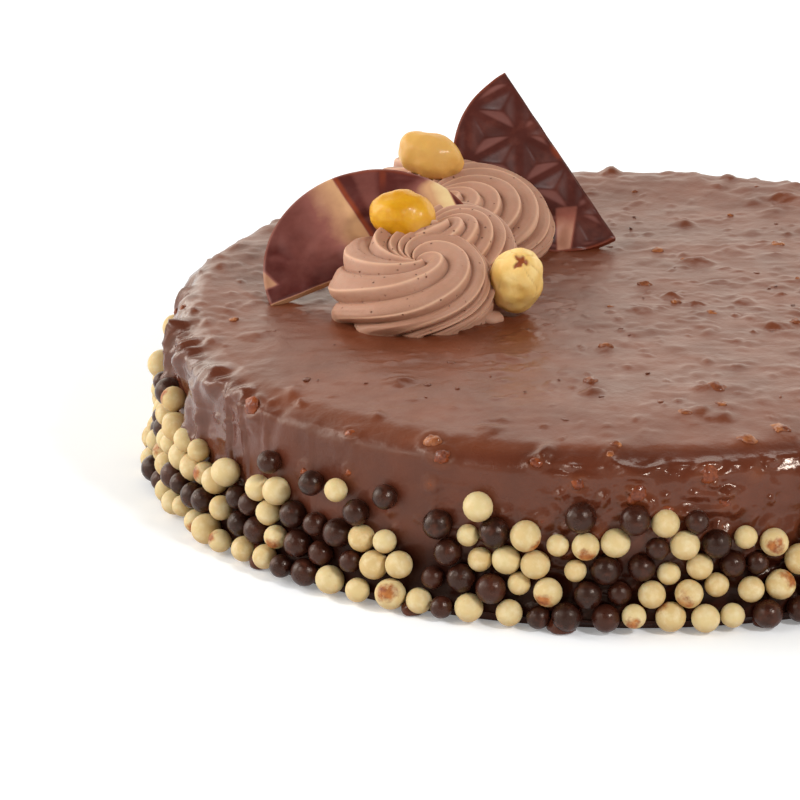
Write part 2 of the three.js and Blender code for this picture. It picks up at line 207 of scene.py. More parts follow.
ROSETTE_SECTION = (
    (0.92, 0), (1, 0.22), (1, 0.48), (0.9, 0.77), (0.68, 0.96), (0.4, 1), (0.16, 0.93), (0, 0.84),
)
# A dab of cream at the foot of the front rosette: middle and half sizes
CREAM_DAB = ((-35, -19.4, 46.2), (4.6, 3.2, 2.3))
DAB_CRAGS = ((0.2, 0.7, 110),)

# Hazelnuts: middle, length, width, the way the tip points and how much it narrows
NUT_FULLNESS = 0.86
NUT_ROWS = 60
NUT_COLUMNS = 84
NUT_SEED = 141
NUT_UNEVENNESS = ((0.6, 6.5, 0), (0.34, 3.2, 1), (0.12, 1.7, 2))
HAZELNUTS = (
    ("hazelnut_glazed_front", (-56.5, -0.3, 67.9), 17.8, 13.6, (-0.97, 0.1, 0.12), 0.16),
    ("hazelnut_glazed_back", (-48.6, 46.5, 70.5), 17.6, 13, (0.95, -0.1, -0.28), 0.46),
    ("hazelnut_plain", (-27.2, -16.8, 55.9), 19, 14.3, (0.1, -0.45, 0.88), 0.16),
)
# How far the underside of a glazed one is toasted, and how pale the back one is
NUT_TOAST = {"hazelnut_glazed_front": 0.85, "hazelnut_glazed_back": 0.12}
BACK_NUT_PALE = 0.58
# Where the bare kernel was attached, as a direction from its middle, and how far folds and star sink in
STAR_SPOT = (0.1, -0.65, 0.753)
FOLD_SINK = 0.045
STAR_SINK = 0.06

# Half-discs of chocolate: place, then yaw, lean and spin in degrees, and how deep the hollows are
FAN_RADIUS = 29
FAN_THICKNESS = 2.4
STAR_PITCH = 16
STAR_AT = (10.5, 6.4)
ARM_WIDTH = 2.2
FAN_BORDER = 1.6
FAN_EDGE_DROP = 0.4
FAN_ROWS = 84
FAN_COLUMNS = 200
FAN_SHARP_ANGLE = 50
FANS = (
    ("chocolate_fan_left", (-64.2, -1.9, 55.7), -8.6, 41.8, 28.7, 0.6),
    ("chocolate_fan_right", (-14, 58, 67.7), -1.5, 47.5, 121.4, 1.4),
)

# The view
CAMERA_AT = (-57.286, -1242.82, 449.226)
CAMERA_PITCH = 19.165
CAMERA_LENS = 225
CAMERA_FARTHEST = 100_000
SENSOR = 36

# The studio, in metres and watts: how light from all round changes along each axis, and where lamps stand
FLOOR_HALF = 6
FLOOR_HEIGHT = -0.0003
WORLD_COLOUR = (1, 0.94, 0.84, 1)
WORLD_SHADES = {"X": (-0.9, -0.1, 1.7, 1), "Y": (-0.8, 0.8, 0.55, 1.75), "Z": (0.3, 0.9, 1, 0.13)}
LAMPS = (
    ("front_right", (0.9, -1.1, 1.1), (0.26, 0.26), 14),
    ("front_left", (-1.1, -0.8, 1.0), (0.5, 0.5), 4),
    ("left", (-1.5, 0.2, 0.8), (0.5, 1.0), 9),
    ("behind", (0.2, 1.4, 1.5), (1.2, 0.6), 4),
)


def srgb(red, green, blue):
    """A screen colour from 0 to 255 as the linear colour that a shader takes."""
    shares = [value / 255 for value in (red, green, blue)]
    linear = [s / 12.92 if s <= 0.04045 else ((s + 0.055) / 1.055) ** 2.4 for s in shares]
    return (*linear, 1)


def between(span, share):
    return span[0] + (span[1] - span[0]) * share


def ease(low, high, values):
    """A smooth step from 0 at low to 1 at high."""
    share = np.clip((values - low) / (high - low), 0, 1)
    return share * share * (3 - 2 * share)


def bell(values, width):
    """A bump of 1 where values are 0, which falls away over a width."""
    return np.exp(-((values / width) ** 2))


def outward(turn):
    """The level direction at a turn in radians."""
    return np.array([math.cos(turn), math.sin(turn), 0])


def unit(direction):
    return direction / np.linalg.norm(direction)


def rotation(x, y, z):
    """A matrix for turns about the three axes."""
    return np.array(Matrix.Rotation(x, 3, "X") @ Matrix.Rotation(y, 3, "Y") @ Matrix.Rotation(z, 3, "Z"))


def random_rotation(draw):
    return rotation(*(draw(3) * FULL_TURN))


def cell_values(cells, seed):
    """A fixed number from -1 to 1 for each whole-number cell."""
    mixed = cells[:, 0] * 73856093 ^ cells[:, 1] * 19349663 ^ cells[:, 2] * 83492791 ^ (seed * 40503)
    mixed &= 0xFFFFFFFF
    mixed = ((mixed ^ (mixed >> 13)) * 1274126177) & 0xFFFFFFFF
    mixed ^= mixed >> 16
    return mixed / 2**31 - 1


def noise(points, size, seed):
    """Smooth noise from -1 to 1 whose bumps are about as wide as size, a number or one for each axis."""
    if np.isscalar(size):
        points = points @ rotation(*NOISE_TILT)
    scaled = points / np.asarray(size, dtype=float)
    cells = np.floor(scaled).astype(np.int64)
    part = scaled - cells
    part = part * part * (3 - 2 * part)
    total = np.zeros(len(points))
    for corner in itertools.product((0, 1), repeat=3):
        weight = np.prod(np.where(corner, part, 1 - part), axis=1)
        total += weight * cell_values(cells + np.array(corner), seed)
    return total


def layers(points, rows, seed=0):
    """The sum of layers of noise, each a height, a size and a seed."""
    return sum(height * noise(points, size, seed + own) for height, size, own in rows)


def craggy(template, rows, seed=0):
    """A unit shape with layers of noise on its surface."""
    return template * (1 + layers(template, rows, seed))[:, None]


class Draws:
    """The seeded numbers from 0 to 1 that the solids are laid out by."""

    def __init__(self, seed):
        self.state = seed

    def __call__(self):
        self.state = (self.state * 1664525 + 1013904223) % 2**32
        return self.state / 2**32


class Nodes:
    """A tree of shader nodes that is built in short chains."""

    def __init__(self, tree):
        self.tree = tree

    def feed(self, socket, value):
        if isinstance(value, bpy.types.NodeSocket):
            self.tree.links.new(value, socket)
        else:
            socket.default_value = value

    def add(self, kind, inputs, **settings):
        node = self.tree.nodes.new(kind)
        for name, value in settings.items():
            setattr(node, name, value)
        for name, value in inputs.items():
            self.feed(node.inputs[name], value)
        return node

    def span(self, value, low, high, to_low=0.0, to_high=1.0):
        inputs = {"Value": value, "From Min": low, "From Max": high, "To Min": to_low, "To Max": to_high}
        return self.add("ShaderNodeMapRange", inputs).outputs["Result"]

    def sum(self, first, second):
        return self.add("ShaderNodeMath", {0: first, 1: second}).outputs["Value"]

    def product(self, first, second):
        return self.add("ShaderNodeMath", {0: first, 1: second}, operation="MULTIPLY").outputs["Value"]


class Finish(Nodes):
    """A material: fixed values, gloss (size, least, most) and grain (size, detail, depth, strength)."""

    def __init__(self, name, sockets, gloss=None, grain=None):
        self.material = bpy.data.materials.new(name)
        self.material.use_nodes = True
        super().__init__(self.material.node_tree)
        self.shader = self.tree.nodes["Principled BSDF"].inputs
        self.place = self.add("ShaderNodeTexCoord", {}).outputs["Object"]
        for socket, value in sockets.items():
            self.feed(self.shader[socket], value)
        if gloss:
            size, low, high = gloss
            self.feed(self.shader["Roughness"], self.span(self.noise(size), 0.3, 0.7, low, high))
        if grain:
            size, detail, depth, strength = grain
            self.bump(self.noise(size, detail), depth, strength)

    def mark(self, name):
        return self.add("ShaderNodeAttribute", {}, attribute_name=name).outputs["Fac"]

    def noise(self, size, detail=3):
        inputs = {"Vector": self.place, "Scale": 1 / (size * MM), "Detail": detail, "Roughness": 0.55}
        return self.add("ShaderNodeTexNoise", inputs).outputs["Fac"]

    def cells(self, size):
        inputs = {"Vector": self.place, "Scale": 1 / (size * MM)}
        return self.add("ShaderNodeTexVoronoi", inputs).outputs["Distance"]

    def blend(self, share, first, second):
        inputs = {0: share, 6: first, 7: second}
        return self.add("ShaderNodeMix", inputs, data_type="RGBA").outputs[2]

    def mottle(self, first, second, size, detail=3, low=0.3, high=0.7):
        """Two colours in patches of a size, where the noise between low and high blends them."""
        return self.blend(self.span(self.noise(size, detail), low, high), first, second)

    def coloured(self, value):
        self.feed(self.shader["Base Color"], value)
        return self

    def bump(self, height, depth, strength):
        inputs = {"Height": height, "Distance": depth * MM, "Strength": strength}
        self.feed(self.shader["Normal"], self.add("ShaderNodeBump", inputs).outputs["Normal"])


def add_object(name, data):
    made = bpy.data.objects.new(name, data)
    bpy.context.collection.objects.link(made)
    return made


def make_piece(name, points, faces, finish, replaced, marks, sharp=None, normals=None):
    """A smooth mesh from points in millimetres, with marks for its material, riding on the one body."""
    mesh = bpy.data.meshes.new(name)
    mesh.from_pydata((np.asarray(points) * MM).tolist(), [], faces)
    mesh.shade_smooth()
    if sharp:
        mesh.set_sharp_from_angle(angle=math.radians(sharp))
    if normals is not None:
        mesh.normals_split_custom_set_from_vertices(normals.tolist())
    for mark, values in marks.items():
        attribute = mesh.attributes.new(mark, "FLOAT", "POINT")
        attribute.data.foreach_set("value", np.asarray(values, dtype=np.float32))
    mesh.materials.append(finish.material)
    piece = add_object(name, mesh)
    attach(piece, "root")
    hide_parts(replaced)


def make_scatter(name, copies, faces, finish, marks):
    """One piece of the cake from many point sets that share their faces, with each mark's values in turn."""
    size = len(copies[0])
    joined = []
    for copy in range(len(copies)):
        joined += [[corner + copy * size for corner in face] for face in faces]
    values = {mark: np.concatenate(parts) for mark, parts in marks.items()}
    make_piece(name, np.vstack(copies), joined, finish, "cake", values)


def ring_faces(rows, columns):
    """Quads of a grid whose rows close on themselves."""
    row = np.arange(rows - 1)[:, None] * columns
    here = np.arange(columns)
    after = (here + 1) % columns
    quads = np.stack([row + here, row + after, row + columns + after, row + columns + here], axis=-1)
    return quads.reshape(-1, 4).tolist()


def pole_faces(pole, first, columns, last_row):
    """Triangles from a pole to the row of a ring grid that starts at a vertex."""
    here = first + np.arange(columns)
    after = np.roll(here, -1)
    pair = (here, after) if last_row else (after, here)
    return np.stack([np.full(columns, pole), *pair], axis=1).tolist()


def closed_rings(grid, first_pole, last_pole):
    """Points and faces of a closed form from rings (rows, columns, 3) and a pole at each end."""
    rows, columns = grid.shape[:2]
    points = np.vstack([grid.reshape(-1, 3), [first_pole], [last_pole]])
    count = rows * columns
    faces = ring_faces(rows, columns)
    faces += pole_faces(count, 0, columns, False)
    faces += pole_faces(count + 1, count - columns, columns, True)
    return points, faces


def ball(segments, rings):
    """A unit ball."""
    tilt = np.linspace(-math.pi / 2, math.pi / 2, rings + 1)[1:-1, None]
    turn = np.arange(segments)[None, :] / segments * FULL_TURN
    up = np.sin(tilt) + 0 * turn
    grid = np.stack([np.cos(tilt) * np.cos(turn), np.cos(tilt) * np.sin(turn), up], axis=-1)
    return closed_rings(grid, -UP, UP)


def pebble(fineness):
    """A unit ball of even triangles."""
    mesh = bmesh.new()
    bmesh.ops.create_icosphere(mesh, subdivisions=fineness, radius=1)
    mesh.verts.index_update()
    points = np.array([vertex.co[:] for vertex in mesh.verts])
    faces = [[vertex.index for vertex in face.verts] for face in mesh.faces]
    mesh.free()
    return points, faces


# Glaze

def cake_section():
    """Radius and height along the glaze, from the foot to near the middle of the top."""
    corners = [(CAKE_RADIUS + beyond, height) for beyond, height in FOOT]
    corners = np.array([*corners, (CAKE_RADIUS, SIDE_HEIGHT)])
    steps = np.r_[0, np.cumsum(np.hypot(*np.diff(corners, axis=0).T))]
    along = np.linspace(0, steps[-1], SIDE_ROWS)
    side = np.stack([np.interp(along, steps, corners[:, axis]) for axis in (0, 1)], axis=1)
    turn = np.linspace(0, math.pi / 2, RIM_ROWS + 1)[1:]
    rim_out = CAKE_RADIUS - RIM_ROUND * (1 - np.cos(turn))
    rim_up = CAKE_HEIGHT - RIM_ROUND * (1 - np.sin(turn))
    inward = np.linspace(TOP_RADIUS, 0, TOP_ROWS + 1)[1:-1]
    top = np.stack([inward, np.full(len(inward), CAKE_HEIGHT)], axis=1)
    return np.vstack([side, np.stack([rim_out, rim_up], axis=1), top])


def clear_of_decor(x, y):
    spots = [(rosette["at"], rosette["radius"]) for rosette in ROSETTES]
    spots += [(at, FAN_RADIUS) for _, at, *_ in FANS]
    spots += [(at, length) for _, at, length, *_ in HAZELNUTS]
    return all(math.hypot(x - at[0], y - at[1]) >= reach + DECOR_CLEARANCE for at, reach in spots)


def on_top(reach, turn):
    """A place on the top and the way out there."""
    return outward(turn) * reach + UP * CAKE_HEIGHT, UP


def on_side(turn, tilt, height):
    """A place on the rim, where tilt runs from the top to the side, or below it on the side at a height."""
    normal = outward(turn) * math.sin(tilt) + UP * math.cos(tilt)
    round_middle = outward(turn) * TOP_RADIUS + UP * min(height, SIDE_HEIGHT)
    return round_middle + normal * RIM_ROUND, normal


def on_drum(turns, heights):
    """Points round a drum as wide as the cake."""
    return np.stack([np.cos(turns) * CAKE_RADIUS, np.sin(turns) * CAKE_RADIUS, heights], axis=1)


def top_lump(reach, turn, spin, length, width, rise):
    return *on_top(reach, turn), outward(spin), length, width, rise


def side_lump(turn, tilt, height, spin, length, width, rise):
    middle, normal = on_side(turn, tilt, height)
    across = np.array([-math.sin(turn), math.cos(turn), 0])
    along = across * math.cos(spin) + np.cross(normal, across) * math.sin(spin)
    return middle, normal, along, length, width, rise


def solid_lumps():
    """The lumps that the cake's solid carries."""
    draw = Draws(LUMP_SEED)

    def lump_size():
        length, rise = between(LUMP_WIDTH, draw()), between(LUMP_RISE, draw())
        return length, length * between((LUMP_SLIMMEST, 1), draw()), rise

    lumps = []
    for i in range(TOP_LUMPS):
        reach = TOP_RADIUS * math.sqrt((i + 0.5) / TOP_LUMPS)
        turn = i * GOLDEN_ANGLE
        size = lump_size()
        if clear_of_decor(reach * math.cos(turn), reach * math.sin(turn)):
            lumps.append(top_lump(reach, turn, 0, *size))
    for i in range(RIM_LUMPS):
        turn = (i + draw() * RIM_LUMP_WANDER) / RIM_LUMPS * FULL_TURN
        tilt = draw() * math.pi / 2
        lumps.append(side_lump(turn, tilt, CAKE_HEIGHT, math.pi / 2, *lump_size()))
    return lumps


def top_mounds(draw):
    """Mounds spread over the top, higher in some patches than in others."""
    lumps = []
    for count, widths, rises in TOP_MOUNDS:
        for i in range(count):
            turn = i * GOLDEN_ANGLE + draw() * 0.5
            reach = (CAKE_RADIUS - TOP_MOUND_EDGE) * math.sqrt((i + 0.5) / count)
            reach += (draw() - 0.5) * TOP_MOUND_WANDER
            length, rise = between(widths, draw()), between(rises, draw() ** MOUND_LOWNESS)
            width = length * between(TOP_MOUND_SLIMNESS, draw())
            spot = outward(turn) * reach
            rise *= between((0.3, 1.1), ease(-0.3, 0.4, noise(spot[None, :], 26, 26))[0])
            front_rim = spot[1] < SMOOTH_TOP and reach > TOP_RADIUS - 3
            if not front_rim:
                lumps.append(top_lump(reach, turn, draw() * math.pi, length, width, rise))
    return lumps


def rim_mounds(draw):
    """Mounds along the left and far rim."""
    lumps = []
    count, widths, rises, turns = RIM_MOUNDS
    for _ in range(count):
        turn = math.radians(between(turns, draw()))
        tilt = draw() * math.pi / 2.2
        length, rise = between(widths, draw()), between(rises, draw() ** MOUND_LOWNESS)
        lumps.append(side_lump(turn, tilt, CAKE_HEIGHT, draw() * math.pi, length, length * 0.75, rise))
    return lumps


def side_mounds(draw):
    """Loose mounds on the side, apart from its smooth stretch under the front rim."""
    lumps = []
    for count, widths, rises, turns in SIDE_MOUNDS:
        for _ in range(count):
            degrees = between(turns, draw())
            height = between(SIDE_MOUND_HEIGHTS, draw())
            tilt = math.pi / 2 if height < SIDE_HEIGHT else math.pi / 3
            length, rise = between(widths, draw() ** 2), between(rises, draw() ** MOUND_LOWNESS)
            spin = draw() * math.pi
            smooth = SMOOTH_SIDE[0] < degrees < SMOOTH_SIDE[1] and height > SMOOTH_SIDE_FROM
            if not smooth:
                lumps.append(side_lump(math.radians(degrees), tilt, height, spin, length, length * 0.8, rise))
    return lumps


def top_grains(draw):
    """Small grains under the glaze of the top."""
    lumps = []
    count, widths, rises = TOP_GRAINS
    for _ in range(count):
        turn, reach = draw() * FULL_TURN, TOP_RADIUS * math.sqrt(draw())
        length, rise = between(widths, draw()), between(rises, draw() ** 2)
        lumps.append(top_lump(reach, turn, draw() * math.pi, length, length * 0.7, rise))
    return lumps


def fine_lumps():
    draw = np.random.default_rng(FINE_SEED).random
    return top_mounds(draw) + rim_mounds(draw) + side_mounds(draw) + top_grains(draw)


def nut_places():
    """Middle, outward direction and width of each bare piece of nut, in sight and out of it."""
    places = [(np.array([x, y, CAKE_HEIGHT]), UP, width) for x, y, width in TOP_NUTS]
    draw = np.random.default_rng(FINE_SEED + 1).random
    count, turns, heights, widths = HIDDEN_SIDE_NUTS
    hidden = []
    for i in range(count):
        degrees, height = between(turns, (i + draw()) / count), between(heights, draw())
        hidden.append((degrees, height, between(widths, draw() ** 2)))
    for degrees, height, width in (*SIDE_NUTS, *hidden):
        up_the_rim = max(0, height - SIDE_HEIGHT) / RIM_ROUND
        places.append((*on_side(math.radians(degrees), math.acos(min(1, up_the_rim)), height), width))
    count, farthest, widths = HIDDEN_TOP_NUTS
    for i in range(count):
        reach = farthest * math.sqrt((i + 0.5) / count)
        middle, normal = on_top(reach, i * GOLDEN_ANGLE + 1)
        x, y, _ = middle
        hidden_or_far = y > 30 or x > 50 or x < -80
        if clear_of_decor(x, y) and hidden_or_far:
            places.append((middle, normal, between(widths, draw() ** 2)))
    return places


def lump_relief(points, lumps):
    """How far the glaze is lifted by lumps: round swellings with a slight moat."""
    lifted = np.zeros(len(points))
    moats = np.zeros(len(points))
    sway = LUMP_SWAY * np.stack([noise(points, 2.3, 31), noise(points, 2.3, 32)], axis=1)
    for middle, normal, along, length, width, rise in lumps:
        offset = points - middle
        near = np.flatnonzero(np.einsum("ij,ij->i", offset, offset) < (LUMP_REACH * length) ** 2)
        u = offset[near] @ along / length + sway[near, 0]
        v = offset[near] @ np.cross(normal, along) / width + sway[near, 1]
        spread = u * u + v * v
        lifted[near] = np.maximum(lifted[near], rise * np.exp(-LUMP_STEEPNESS * spread))
        moats[near] = np.minimum(moats[near], -0.12 * rise * bell(np.sqrt(spread) - 1.6, 0.4))
    return lifted + moats


def creases(points, size, seed, low=0.72):
    """Winding ridges, from 0 between them to 1 on their crests, narrower the nearer low is to 1."""
    return ease(low, 1, 1 - np.abs(noise(points, size, seed)))


def toward(turn, degrees, spread):
    """1 at a turn given in degrees, falling away over a spread in radians on both sides."""
    return bell(np.angle(np.exp(1j * (turn - math.radians(degrees)))), spread)


def side_relief(points, turn):
    """Glaze down the side: strong folds at the left, sags in front, faint waves and wrinkles all round."""
    folds = 3 * creases(on_drum(turn, points[:, 2] / 5), 7, 41) * toward(turn, *SIDE_FOLDS)
    sags = 0.9 * creases(points, (17, 17, 4.5), 49, 0.3) * toward(turn, *SIDE_SAGS)
    patches = ease(-0.35, 0.3, noise(points, 20, 44))
    wrinkles = 0.8 * creases(points, (11, 11, 5), 45) + 0.4 * creases(points, 4, 46)
    fine = layers(points, SIDE_WAVES) + (wrinkles + layers(points, SIDE_RIPPLES)) * patches
    return folds + sags + fine * (1 - 0.6 * toward(turn, *SIDE_CALM))


def top_relief(points):
    """Low waves of the top and crumbs under them, thicker in some patches than in others."""
    crumbs = 0.5 * ease(0.1, 1.1, layers(points, TOP_CRUMBS))
    patches = 0.3 + 0.7 * ease(-0.3, 0.5, noise(points, 24, 25))
    return layers(points, TOP_WAVES) + layers(points, TOP_STREAKS) + crumbs * patches


def pour(points, upward):
    """How far the glaze is lifted along the far rim, or sinks where it rolls over the front one."""
    reach = np.hypot(points[:, 0], points[:, 1])
    swell = FAR_SWELL + 0.5 * noise(points, 4, 28)
    swell = swell * ease(*FAR_SWELL_REACH, reach) * ease(*FAR_SWELL_Y, points[:, 1])
    fall = FRONT_FALL * ease(*FRONT_FALL_REACH, reach) * ease(*FRONT_FALL_Y, points[:, 1])
    return swell * ease(*FLAT, upward) - fall * ease(0, 0.9, upward)


def poured(middle, normal):
    """A place on the glaze after it has risen or sunk."""
    return middle + UP * pour(middle[None, :], normal[2:])


def glaze_finish():
    fixed = {"IOR": 1.47, "Specular Tint": (1, 0.86, 0.74, 1), "Coat Roughness": 0.25}
    finish = Finish("chocolate_glaze", fixed, grain=(1.8, 4, 0.26, 0.55))
    # The low mark paints shade, a near-black brown, on the glaze between the pearls, and lowers its specular
    # level there
    low = finish.mark("low")
    finish.feed(finish.shader["Coat Weight"], finish.mark("sheen"))
    finish.feed(finish.shader["Specular IOR Level"], finish.span(low, 0, 1, 0.5, 0.15))
    tone = finish.span(finish.noise(16, 4), 0.35, 0.7)
    # One glaze in two colours: the side darker with painted shade, the top lighter with painted light
    side = finish.blend(tone, srgb(84, 39, 24), srgb(98, 48, 31))
    top = finish.blend(tone, srgb(102, 51, 30), srgb(118, 62, 39))
    amber = finish.blend(finish.noise(3), srgb(98, 46, 23), srgb(122, 62, 30))
    nutty = finish.blend(finish.mark("nut"), finish.blend(finish.mark("top"), side, top), amber)
    matt = finish.span(finish.mark("matt"), 0, 1, 0.16, 0.37)
    uneven = finish.span(finish.noise(7), 0.3, 0.75, -0.05, 0.08)
    finish.feed(finish.shader["Roughness"], finish.sum(matt, uneven))
    return finish.coloured(finish.blend(low, nutty, srgb(44, 16, 9)))


def grid_normals(grid):
    """Outward directions at the points of rings that close on themselves."""
    up = np.gradient(grid, axis=0)
    across = np.roll(grid, -1, axis=1) - np.roll(grid, 1, axis=1)
    normals = np.cross(across, up)
    return normals / np.linalg.norm(normals, axis=2)[..., None]


def glaze_marks(points, upward, degrees, nut):
    """Where the glaze is top (painted lighter), matt, over nut, low between the pearls (painted shade), or
    has a sheen.
    """
    front_left = ease(*MATT_FROM, degrees) * (1 - 0.7 * ease(*MATT_LESS, degrees))
    left = 0.5 * sum(ease(*turns, degrees) for turns in SHINY_FROM)
    return {
        # The top mark carries the painted light that makes the top's colour lighter than the side's
        "top": ease(0.88 - 0.6 * front_left, 0.995, upward),
        "matt": np.max([ease(*FLAT, upward), front_left, 0.3 * ease(*MATT_BEHIND, degrees)], axis=0),
        "nut": 0.7 * nut,
        # Painted shade low down between the pearls
        "low": 0.95 * ease(*FOOT_SHADE_HEIGHTS, points[:, 2] + 3 * noise(points, 12, 48)),
        "sheen": left * ease(1, 0.97, upward),
    }


def glaze_form():
    """Rings of the glaze from the foot to the middle of the top, and their marks."""
    section = cake_section()
    run = np.gradient(section, axis=0)
    run /= np.linalg.norm(run, axis=1)[:, None]
    turn = np.arange(GLAZE_COLUMNS) / GLAZE_COLUMNS * FULL_TURN - math.pi
    out = np.stack([np.cos(turn), np.sin(turn), np.zeros(GLAZE_COLUMNS)], axis=1)
    points = (section[:, None, :1] * out + section[:, None, 1:] * UP).reshape(-1, 3)
    normals = (run[:, None, 1:] * out - run[:, None, :1] * UP).reshape(-1, 3)
    upward = normals[:, 2]
    turn = np.tile(turn, len(section))
    flat = ease(*FLAT, upward)
    relief = top_relief(points) * flat + side_relief(points, turn) * (1 - flat)
    relief += lump_relief(points, solid_lumps() + fine_lumps())
    nut = np.zeros(len(points))
    for middle, normal, width in nut_places():
        apart = np.linalg.norm(points - middle, axis=1)
        nut = np.maximum(nut, bell(apart, 0.6 * width))
        relief += 0.14 * width * bell(apart, 0.75 * width)
        if normal[2] < 0.9:
            relief += 0.35 * bell(apart / width - 0.8, 0.2)
    relief *= ease(0, 5, points[:, 2]) * ease(0, 6, np.hypot(points[:, 0], points[:, 1]))
    shape = (len(section), GLAZE_COLUMNS)
    grid = points + normals * relief[:, None] + pour(points, upward)[:, None] * UP
    marks = glaze_marks(points, upward, np.degrees(turn), nut)
    return grid.reshape(*shape, 3), {mark: values.reshape(shape) for mark, values in marks.items()}


def make_glaze():
    """The glaze in two pieces that meet where the rim turns into the top."""
    grid, marks = glaze_form()
    normals = grid_normals(grid)
    finish = glaze_finish()
    seam = SIDE_ROWS + RIM_ROWS - 1
    for name, rows, pole, last in (
        ("glaze_side", slice(None, seam + 1), 0 * UP, False),
        ("glaze_top", slice(seam, None), CAKE_HEIGHT * UP, True),
    ):
        part = grid[rows]
        points = np.vstack([part.reshape(-1, 3), [pole]])
        end = len(points) - 1
        edge = end - GLAZE_COLUMNS if last else 0
        faces = ring_faces(len(part), GLAZE_COLUMNS) + pole_faces(end, edge, GLAZE_COLUMNS, last)
        at_pole = {"top": float(last), "matt": float(last)}
        part_marks = {}
        for mark, values in marks.items():
            part_marks[mark] = np.r_[values[rows].ravel(), at_pole.get(mark, 0)]
        directions = np.vstack([normals[rows].reshape(-1, 3), [UP if last else -UP]])
        make_piece(name, points, faces, finish, "cake", part_marks, normals=directions)
    return finish


def nut_bit_finish():
    fixed = {"IOR": 1.4, "Specular IOR Level": 0.2, "Coat Weight": 0.4, "Coat Roughness": 0.08}
    finish = Finish("toasted_nut", fixed, (1.5, 0.3, 0.5), (0.6, 4, 0.25, 0.7))
    red = finish.mottle(srgb(110, 46, 18), srgb(152, 74, 28), 1.6)
    amber = finish.mottle(srgb(132, 72, 40), srgb(176, 110, 62), 1.6)
    flesh = finish.blend(finish.mark("open"), red, amber)
    skin = finish.mottle(srgb(92, 42, 26), srgb(120, 62, 40), 0.8, low=0.4, high=0.6)
    return finish.coloured(finish.blend(finish.mark("skin"), flesh, skin))


def upright(normal):
    """Axes for a shape whose third axis is to point along a direction."""
    across = unit(np.cross(normal, [0.3, 0.9, 0.28]))
    return np.stack([across, np.cross(normal, across), normal])


def make_nut_bits():
    """Craggy bits of nut that lie in the glaze, a little deeper on top than on the side."""
    draw = np.random.default_rng(FINE_SEED + 2).random
    template, faces = pebble(3)
    copies = []
    marks = {"skin": [], "open": []}
    for number, (middle, normal, width) in enumerate(nut_places()):
        body = template @ random_rotation(draw).T
        crags = 1 + layers(body, NUT_CRAGS, number)
        stretch = np.array([1, between((0.72, 0.97), draw()), between((0.5, 0.75), draw())])
        shaped = template * crags[:, None] * stretch * width / 2
        lift = 0.08 * draw() + (0.06 if normal[2] < 0.9 else -0.03)
        copies.append(shaped @ upright(normal) + poured(middle, normal) + normal * width * lift)
        skin = ease(-0.4, 0.3, noise(body, 0.8, NUT_SKIN_SEED + number))
        marks["skin"].append(skin * between((0.5, 1), draw()))
        marks["open"].append(np.full(len(template), ease(0.5, 0.95, normal[2])))
    make_scatter("nut_bits", copies, faces, nut_bit_finish(), marks)


def crumb_finish():
    finish = Finish("glazed_crumb", {"IOR": 1.45}, (1.5, 0.3, 0.45), (0.5, 3, 0.1, 0.5))
    return finish.coloured(finish.blend(finish.mark("tint"), srgb(86, 42, 27), srgb(126, 70, 45)))


def make_crumbs():
    """Crumbs of nut in the glaze, over the top and the open part of the side."""
    draw = np.random.default_rng(FINE_SEED + 3).random
    template, faces = pebble(2)
    copies = []
    tints = []
    for number in range(CRUMBS):
        turn = draw() * FULL_TURN
        if number % SIDE_CRUMB_EVERY:
            middle, normal = on_top(TOP_RADIUS * math.sqrt(draw()), turn)
        else:
            middle, normal = on_side(turn, math.pi / 2, between((14, SIDE_HEIGHT), draw()))
        size = between(CRUMB_SIZE, draw() ** 2)
        stretch = np.array([1, between((0.45, 0.95), draw()), CRUMB_FLATNESS])
        shaped = craggy(template, CRUMB_CRAGS, number) * stretch @ rotation(0, 0, turn * 7) * size
        copies.append(shaped @ upright(normal) + poured(middle, normal) + normal * 0.1)
        tints.append(np.full(len(template), draw()))
    make_scatter("crumbs", copies, faces, crumb_finish(), {"tint": tints})


def make_drips(finish):
    """Blobs of glaze that set round the foot."""
    draw = np.random.default_rng(FINE_SEED + 4).random
    template, faces = pebble(3)
    copies = []
    for number in range(DRIPS):
        out = outward((number + 0.8 * draw()) / DRIPS * FULL_TURN)
        length, height = between(DRIP_LENGTH, draw()), between(DRIP_HEIGHT, draw())
        shaped = craggy(template, DRIP_CRAGS, number) * np.array([length, DRIP_DEPTH, height])
        axes = np.stack([np.cross(UP, out), out, UP])
        placed = shaped @ axes + out * (CAKE_RADIUS + between(DRIP_OUT, draw())) + UP * 0.4 * height
        placed[:, 2] = np.maximum(placed[:, 2], DRIP_FLOOR)
        copies.append(placed)
    marks = {mark: [np.full(len(template), value)] * DRIPS for mark, value in DRIP_MARKS.items()}
    make_scatter("glaze_drips", copies, faces, finish, marks)


# Pearls

def settle(pearls, lap):
    """Pushes pearls that overlap apart along the unrolled side, as the solid's rule does."""
    def way(a, b):
        across = b[0] - a[0]
        return across - lap * round(across / lap), b[1] - a[1]

    near = [pair for pair in itertools.combinations(pearls, 2) if math.hypot(*way(*pair)) < PEARL_REACH]
    for _ in range(PEARL_SETTLE_STEPS):
        for a, b in near:
            across, up = way(a, b)
            apart = math.hypot(across, up)
            overlap = a[2] + b[2] - apart
            if overlap <= 0 or apart == 0:
                continue
            push = overlap / 2 / apart
            a[0] -= across * push
            a[1] -= up * push
            b[0] += across * push
            b[1] += up * push
        for pearl in pearls:
            pearl[1] = max(pearl[1], pearl[2] + PEARL_FLOOR_GAP)


